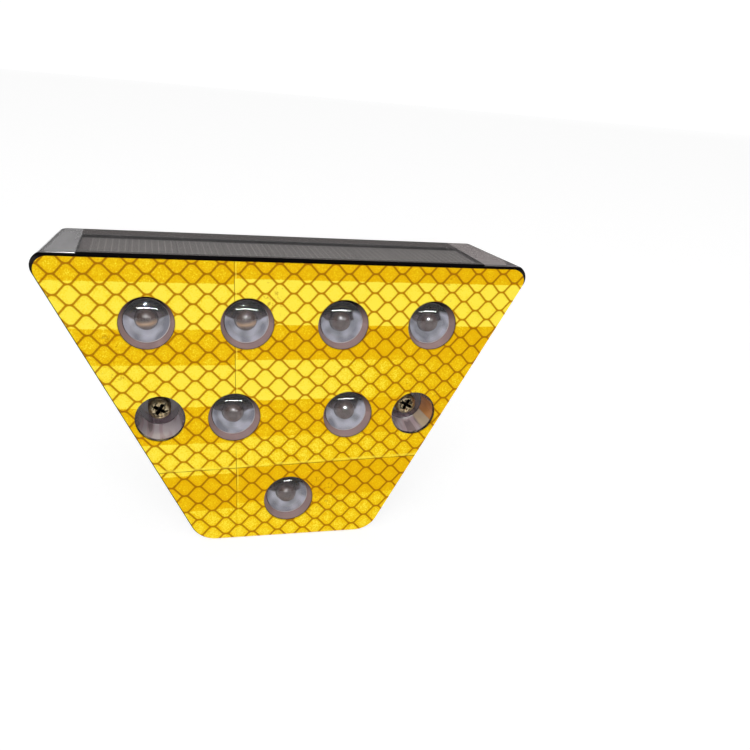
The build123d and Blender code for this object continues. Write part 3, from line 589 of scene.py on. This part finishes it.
def lens_cover():
    """Clear glossy lens front."""
    glass = Finish("clear lens")
    clear = glass.node("ShaderNodeBsdfTransparent", None, Color=(0.93, 0.93, 0.94))
    gloss = glass.node("ShaderNodeBsdfAnisotropic", None, Roughness=0.02)
    return glass.done(glass.shaders(glass.glancing(0.05), clear, gloss))


OWN_PLACE = "own_place"         # attribute with a repeated part's place before it is copied
TOP_ROW = 50.0                  # the top row of lenses lies above this


def around_part(finish):
    """Across and up from a repeated part's own axis, in millimetres."""
    own = finish.node("ShaderNodeAttribute", {"attribute_name": OWN_PLACE}, output="Vector")
    across, _, up = finish.split(own)
    return across / MM, up / MM


def reflector():
    """The lens's bowl, with a painted reflection: dark above, with a bluish light crescent below and on the
    right.
    """
    bowl = Finish("lens bowl")
    across, up = around_part(bowl)
    out = (across * across + up * up).math("SQRT")
    streak = bowl.noise(2.6, detail=2.0, stretch=(0.7, 1, 1.3))
    leaf = bowl.noise(2.8, detail=0.0)
    # Painted reflection: a pale crescent below, and pale on the right of the right hand lenses, where the
    # bowl shows the bright floor.
    low = up - across * across * 0.09 + (streak - 0.5) * 0.8
    crescent = low.below(-0.9, 0.5)
    right = (across + (leaf - 0.5) * 1.6).above(3.3, 0.5) * up.below(2.4, 1.2) * bowl.x.above(0.0, 8.0)
    light = crescent.at_least(right)
    pale = bowl.mix(leaf.above(0.5, 0.3), srgb(158, 161, 172), srgb(222, 224, 236))
    dark = bowl.mix(streak.above(0.5, 0.4), srgb(70, 64, 67), srgb(124, 114, 117))
    # Painted reflection: near black high in the bowl, where it shows the dark overhead.
    dark = bowl.mix(up.above(1.7, 1.3), dark, srgb(4, 3, 4))
    colour = bowl.mix(light, dark, pale)
    colour = bowl.mix(out.below(2.75, 0.2), colour, srgb(72, 60, 60))
    return bowl.done(
        bowl.shader(
            Base_Color=colour, Roughness=0.45, Specular_IOR_Level=0.05,
            Normal=bowl.bump(streak, 0.2, 0.3),
        )
    )


def led_dome():
    """Resin dome over the light source: smoky, with a warm band low on it that is a painted reflection."""
    resin = Finish("led dome")
    across, up = around_part(resin)
    haze = resin.noise(1.5, detail=2.0)
    colour = resin.mix(haze.above(0.5, 0.5), srgb(84, 72, 70), srgb(128, 114, 110))
    # Painted reflection: a warm band low on the domes of the top row's left hand lenses.
    warm = abs(up + 0.55 - across * 0.12).below(0.45, 0.9) * resin.x.below(0.0, 6.0) * resin.z.above(TOP_ROW)
    colour = resin.mix(warm * 0.75, colour, srgb(206, 170, 132))
    core = (across + 0.3) ** 2.0 + (up + 0.1) ** 2.0
    colour = resin.mix(core.below(1.7, 1.6) * (1 - warm) * 0.6, colour, srgb(58, 46, 45))
    colour = resin.mix(up.below(-1.5, 0.8) * 0.5, colour, srgb(70, 58, 56))
    return resin.done(
        resin.shader(
            Base_Color=colour, Roughness=0.4, Specular_IOR_Level=0.1, Coat_Weight=0.8, Coat_Roughness=0.02,
        )
    )


def lens_rim():
    """Thin pale edge of the lens, with a painted highlight at the lower right."""
    edge = Finish("lens edge")
    across, up = around_part(edge)
    lit = (across * 0.6 - up).above(1.5, 5.0)
    colour = edge.mix(lit, srgb(84, 76, 78), srgb(208, 200, 200))
    return edge.done(edge.shader(Base_Color=colour, Roughness=0.15, Coat_Weight=0.4))


def moulded(name, dark, light, size=1.5, roughness=0.4, metallic=0.0, depth=0.03):
    """A material with a mottled colour, uneven gloss and a fine surface."""
    made = Finish(name)
    grain = made.noise(size, detail=4.0, roughness=0.6)
    wide = made.noise(size * 6, detail=2.0)
    colour = made.mix((grain * 0.6 + wide * 0.4).above(0.5, 0.5), srgb(*dark), srgb(*light))
    return made.done(
        made.shader(
            Base_Color=colour, Metallic=metallic, Roughness=grain * 0.2 + (roughness - 0.1),
            Normal=made.bump(grain, depth, 0.5),
        )
    )


def board_finish():
    """Solder mask with copper tracks under it."""
    board = Finish("green circuit board")
    tracks = board.node(
        "ShaderNodeTexVoronoi", {"distance": "MANHATTAN", "feature": "F1"}, board.place, Scale=1 / (4.0 * MM),
    )
    track = abs(tracks - 0.5).below(0.05, 0.04)
    weave = board.noise(0.6, detail=2.0)
    colour = board.mix(weave, srgb(18, 84, 50), srgb(26, 104, 62))
    colour = board.mix(track * 0.7, colour, srgb(44, 138, 84))
    return board.done(
        board.shader(Base_Color=colour, Roughness=0.3, Coat_Weight=0.3, Normal=board.bump(track, 0.04, 0.5))
    )


FINISHES = {
    "clear_plastic": housing_plastic(),
    "reflective_film": reflective_film(),
    "grey_plastic": moulded("grey moulded plate", (104, 104, 105), (138, 138, 139), 2.0, 0.45),
    "black_rubber": moulded("black rubber", (16, 16, 17), (34, 34, 35), 0.8, 0.7),
    "sealant": sealant_band(),
    "galvanised_steel": galvanised_sheet(),
    "plated_screw": plated_screw(),
    "board_green": board_finish(),
    "tinned_metal": moulded("tinned leads", (150, 152, 156), (206, 208, 212), 0.6, 0.3, 0.95),
    "black_part": moulded("black package", (20, 20, 22), (44, 44, 46), 0.7, 0.55),
    "ferrite": moulded("ferrite core", (46, 44, 44), (78, 76, 75), 0.6, 0.6),
    "copper_wire": moulded("enamelled copper", (140, 70, 32), (196, 112, 62), 0.4, 0.3, 0.8),
    "aluminium_can": moulded("aluminium can", (176, 178, 182), (218, 220, 224), 0.9, 0.28, 0.9),
    "battery_wrap": moulded("battery wrap", (28, 78, 150), (44, 104, 184), 2.5, 0.35),
    "foam_tape": moulded("foam tape", (206, 204, 196), (236, 234, 226), 0.5, 0.85, depth=0.15),
    "red_wire": moulded("red wire", (150, 20, 18), (196, 34, 30), 0.9, 0.4),
    "black_wire": moulded("black wire", (14, 14, 15), (36, 36, 38), 0.9, 0.4),
    "panel_board": moulded("panel board", (20, 24, 22), (40, 46, 42), 0.9, 0.5),
    "solar_cell": moulded("solar cell", (26, 26, 44), (48, 46, 72), 1.2, 0.3),
    "clear_encapsulant": solar_panel(),
    "clear_lens": lens_cover(),
    "led_resin": moulded("led resin", (120, 112, 104), (158, 150, 140), 0.8, 0.2),
}


# ---- pieces ----------------------------------------------------------------------------------------------

LENS_RADIUS = 5.25
LENS_RIM_DEPTH = 2.2
LENS_APEX_DEPTH = 0.1
LENS_EDGE = 0.15               # straight part between the lens's rim and its flat back
BOWL_MOUTH = (5.2, 2.42)       # radius and depth
BOWL_THROAT = (2.55, 3.9)
BOWL_BULGE = 0.55
BOWL_FLOOR = (0, 3.95)
BOWL_OUTSIDE = [(0, 4.3), (2.9, 4.3), (5.3, 3.0), (5.3, 2.42)]
DOME_RADIUS = 2.5
DOME_RIM_DEPTH = 3.2
DOME_APEX_DEPTH = 0.85
RING_RADIUS = 5.28             # of the pale edge, and its thickness
RING_HALF = 0.09
RING_FACETS = 8
FACETS = 72                    # round each turned part
SHARP_EDGE = 35                # degrees


def turned(name, profile):
    """A mesh turned round the Y axis from points of radius and depth, in millimetres."""
    shape = bmesh.new()
    rings = []
    for radius, depth in profile:
        angles = [2 * math.pi * step / FACETS for step in range(FACETS if radius > 0 else 1)]
        rings.append([
            shape.verts.new((radius * MM * math.cos(angle), depth * MM, radius * MM * math.sin(angle)))
            for angle in angles
        ])
    pairs = list(zip(rings, rings[1:]))
    if len(rings[0]) > 1 and len(rings[-1]) > 1:
        pairs.append((rings[-1], rings[0]))
    for first, second in pairs:
        for step in range(FACETS):
            after = (step + 1) % FACETS
            corners = [
                first[step % len(first)], first[after % len(first)],
                second[after % len(second)], second[step % len(second)],
            ]
            unique = list(dict.fromkeys(corners))
            if len(unique) > 2:
                shape.faces.new(unique)
    bmesh.ops.recalc_face_normals(shape, faces=shape.faces)
    for face in shape.faces:
        face.smooth = True
    mesh = bpy.data.meshes.new(name)
    shape.to_mesh(mesh)
    shape.free()
    mesh.set_sharp_from_angle(angle=math.radians(SHARP_EDGE))
    return linked(name, mesh)


def arc(first, last, sag, steps=10):
    """Points of radius and depth from first to last, set back by sag at the middle."""
    points = []
    for step in range(steps + 1):
        share = step / steps
        radius, depth = (start + (end - start) * share for start, end in zip(first, last))
        points.append((radius, depth + 4 * sag * share * (1 - share)))
    return points


def dome_profile(radius, rim, apex, steps=14):
    """Points from the rim to the apex of a spherical cap."""
    height = rim - apex
    ball = (radius**2 + height**2) / (2 * height)
    points = []
    for step in range(steps + 1):
        out = radius * math.cos(math.pi / 2 * step / steps)
        points.append((out, apex + ball - math.sqrt(ball**2 - out**2)))
    points[-1] = (0, apex)
    return points


def repeat_tree():
    """A node group that puts a copy of Part on every point and gives the copies a finish."""
    group = bpy.data.node_groups.new("repeat on places", "GeometryNodeTree")
    kinds = {"Places": "Geometry", "Part": "Object", "Size": "Float", "Finish": "Material"}
    for name, kind in kinds.items():
        group.interface.new_socket(name, in_out="INPUT", socket_type="NodeSocket" + kind)
    group.interface.new_socket("Pieces", in_out="OUTPUT", socket_type="NodeSocketGeometry")
    tree = Tree(group)
    inputs = group.nodes.new("NodeGroupInput")
    places, part, size, finish = (Value(tree, inputs.outputs[name]) for name in kinds)
    shape = tree.node("GeometryNodeObjectInfo", None, part, output="Geometry")
    kept = tree.node(
        "GeometryNodeStoreNamedAttribute", {"data_type": "FLOAT_VECTOR", "domain": "POINT"},
        Geometry=shape, Name=OWN_PLACE, Value=tree.node("GeometryNodeInputPosition"),
    )
    copies = tree.node("GeometryNodeInstanceOnPoints", None, Points=places, Instance=kept, Scale=size)
    solid = tree.node("GeometryNodeRealizeInstances", None, Geometry=copies)
    painted = tree.node("GeometryNodeSetMaterial", None, Geometry=solid, Material=finish)
    out = group.nodes.new("NodeGroupOutput")
    group.links.new(painted.socket, out.inputs["Pieces"])
    return group


REPEAT = repeat_tree()


def repeated(name, part, places, finish):
    """One mesh of copies of a part at places given in metres."""
    mesh = bpy.data.meshes.new(name)
    mesh.from_pydata([tuple(place) for place in places], [], [])
    holder = linked(name, mesh)
    maker = holder.modifiers.new("repeat", "NODES")
    maker.node_group = REPEAT
    wanted = {"Part": part, "Size": 1.0, "Finish": finish}
    for socket in REPEAT.interface.items_tree:
        if socket.in_out == "INPUT" and socket.name in wanted:
            maker[socket.identifier] = wanted[socket.name]
    depsgraph = bpy.context.evaluated_depsgraph_get()
    result = bpy.data.meshes.new_from_object(holder.evaluated_get(depsgraph))
    holder.modifiers.clear()
    holder.data = result
    holder.data.name = name
    bpy.data.objects.remove(part)
    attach(holder, "root")
    return holder


lens_points = [Vector((x * MM, FRONT_Y, z * MM)) for x, z in LENS_PLACES]


def lens_fronts():
    back = LENS_RIM_DEPTH + LENS_EDGE
    dome = dome_profile(LENS_RADIUS, LENS_RIM_DEPTH, LENS_APEX_DEPTH)
    part = turned("lens front", [(0, back), (LENS_RADIUS, back)] + dome)
    piece = repeated("lens_fronts", part, lens_points, FINISHES["clear_lens"])
    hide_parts(*LENS_NODES)


def lens_bowls():
    inside = arc(BOWL_MOUTH, BOWL_THROAT, BOWL_BULGE)
    part = turned("lens bowl", BOWL_OUTSIDE + inside + [BOWL_FLOOR])
    repeated("lens_bowls", part, lens_points, reflector())


def led_domes():
    back = BOWL_THROAT[1]
    dome = dome_profile(DOME_RADIUS, DOME_RIM_DEPTH, DOME_APEX_DEPTH)
    part = turned("led dome", [(0, back), (DOME_RADIUS, back)] + dome)
    repeated("led_domes", part, lens_points, led_dome())


def lens_edges():
    angles = [2 * math.pi * step / RING_FACETS for step in range(RING_FACETS)]
    part = turned("lens edge", [
        (RING_RADIUS + RING_HALF * math.cos(angle), LENS_RIM_DEPTH + RING_HALF * math.sin(angle))
        for angle in angles
    ])
    repeated("lens_edges", part, lens_points, lens_rim())


lens_fronts()
lens_bowls()
led_domes()
lens_edges()

cover_finish = cover_plastic()
for node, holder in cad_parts.items():
    names = [material.name.split(".")[0] for material in holder.data.materials if material]
    known = [FINISHES[name] for name in names if name in FINISHES]
    if not known:
        raise SystemExit(f"no finish for {node}: {names}")
    for place in holder.material_slots:
        place.material = cover_finish if node == "rear_cover" else known[0]

# ---- floor and light -------------------------------------------------------------------------------------

WHITE = (1.0, 1.0, 1.0)
FLOOR_HALF = 8.0               # metres from here on
FLOOR_DEPTH = 0.0001           # below the object
FLOOR_GLOW = 0.6               # share of the floor's brightness that no shadow takes away
FLOOR_STRENGTH = 1.24
BACKDROP_STRENGTH = 1.02
FLAG_HEIGHT = 1.2
FLAG_HALF = 8.3
FLAG_STRENGTH = 0.04
CEILING_STRENGTH = 3.1
CEILING_SPREAD = 100           # degrees
CEILING_TURN = (12, 0, -8)     # degrees
LIT_PLACE = (0.0, FRONT_Y, 0.04)
# Place, width, height and power of the lamps.
FRONT_LAMP = ((-0.35, -1.2, 0.7), 1.2, 0.9, 8.0)
GLINT_LAMP = ((-0.1, -0.75, 0.95), 0.07, 0.07, 90.0)
# The bars of a window frame that shows in the lenses, each between two places. The places are scaled by
# WINDOW_DISTANCE and moved right by WINDOW_X.
WINDOW_BARS = {
    "window bar": ((-0.62, -0.73, 0.62), (0.60, -0.73, 0.62)),
    "window right": ((0.63, -0.72, 0.64), (0.95, -0.62, 0.98)),
    "window left": ((-0.65, -0.72, 0.64), (-0.85, -0.62, 0.90)),
}
WINDOW_DISTANCE = 0.6
WINDOW_X = 0.06
WINDOW_BAR_WIDTH = 0.02
WINDOW_BRIGHTNESS = 60.0


def sheet(name, half, height, facing_down=False):
    """A large level square of the studio."""
    corners = [(-half, -half), (half, -half), (half, half), (-half, half)]
    face = (3, 2, 1, 0) if facing_down else (0, 1, 2, 3)
    mesh = bpy.data.meshes.new(name)
    mesh.from_pydata([(x, y, height) for x, y in corners], [], [face])
    return linked(name, mesh)


def lay_floor():
    floor = sheet("studio_floor", FLOOR_HALF, -FLOOR_DEPTH)
    paint = Finish("pale floor")
    fine = paint.noise(60.0, detail=2.0)
    tone = paint.mix(fine, (0.96, 0.96, 0.96), (0.98, 0.98, 0.98))
    lit = paint.shader(Base_Color=tone, Roughness=0.85, Specular_IOR_Level=0.1)
    glow = paint.node("ShaderNodeEmission", None, WHITE, FLOOR_STRENGTH)
    floor.data.materials.append(paint.done(paint.shaders(FLOOR_GLOW, lit, glow)))


def hang_flag():
    """A dark screen overhead, seen only in what the object reflects and in its soft shading."""
    flag = sheet("studio_flag", FLAG_HALF, FLAG_HEIGHT, facing_down=True)
    dark = Finish("dark screen")
    dim = dark.node("ShaderNodeEmission", None, WHITE, FLAG_STRENGTH)
    flag.data.materials.append(dark.done(dim))
    flag.visible_camera = flag.visible_shadow = flag.visible_transmission = False


def area_light(name, width, height, power, diffuse=True, glossy=True):
    data = bpy.data.lights.new(name, "AREA")
    data.shape, data.size, data.size_y, data.energy = "RECTANGLE", width, height, power
    lamp = linked(name, data)
    lamp.visible_camera = False
    lamp.visible_diffuse, lamp.visible_glossy = diffuse, glossy
    return lamp


def aimed_light(name, place, width, height, power, **seen_in):
    """A light that faces the middle of the object."""
    lamp = area_light(name, width, height, power, **seen_in)
    lamp.location = place
    lamp.rotation_euler = (Vector(LIT_PLACE) - Vector(place)).to_track_quat("-Z", "Y").to_euler()


def window_bar(name, start, end):
    """A thin bright bar of a window frame, which shows only in glossy surfaces."""
    length, middle_place = (end - start).length, (start + end) / 2
    power = WINDOW_BRIGHTNESS * length * WINDOW_BAR_WIDTH * math.pi
    lamp = area_light(name, length, WINDOW_BAR_WIDTH, power, diffuse=False)
    across = (end - start).normalized()
    facing = -(Vector(LIT_PLACE) - middle_place).normalized()
    upward = facing.cross(across).normalized()
    facing = across.cross(upward)
    turn = Matrix((across, upward, facing)).transposed()
    lamp.matrix_world = Matrix.Translation(middle_place) @ turn.to_4x4()


def light_ceiling():
    data = bpy.data.lights.new("ceiling", "SUN")
    data.energy, data.angle = CEILING_STRENGTH, math.radians(CEILING_SPREAD)
    ceiling = linked("ceiling", data)
    ceiling.rotation_euler = [math.radians(angle) for angle in CEILING_TURN]
    ceiling.visible_glossy = False


def light_studio():
    world = bpy.data.worlds.new("studio")
    bpy.context.scene.world = world
    world.use_nodes = True
    backdrop = world.node_tree.nodes["Background"]
    backdrop.inputs["Color"].default_value = (*WHITE, 1.0)
    backdrop.inputs["Strength"].default_value = BACKDROP_STRENGTH
    world.cycles_visibility.diffuse = world.cycles_visibility.glossy = False
    world.cycles.sampling_method = "NONE"
    hang_flag()
    light_ceiling()
    aimed_light("front", *FRONT_LAMP, glossy=False)
    for name, places in WINDOW_BARS.items():
        window_bar(name, *(Vector(place) * WINDOW_DISTANCE + Vector((WINDOW_X, 0, 0)) for place in places))
    aimed_light("glint", *GLINT_LAMP, diffuse=False)


lay_floor()
light_studio()
bpy.context.scene.view_settings.view_transform = "Standard"
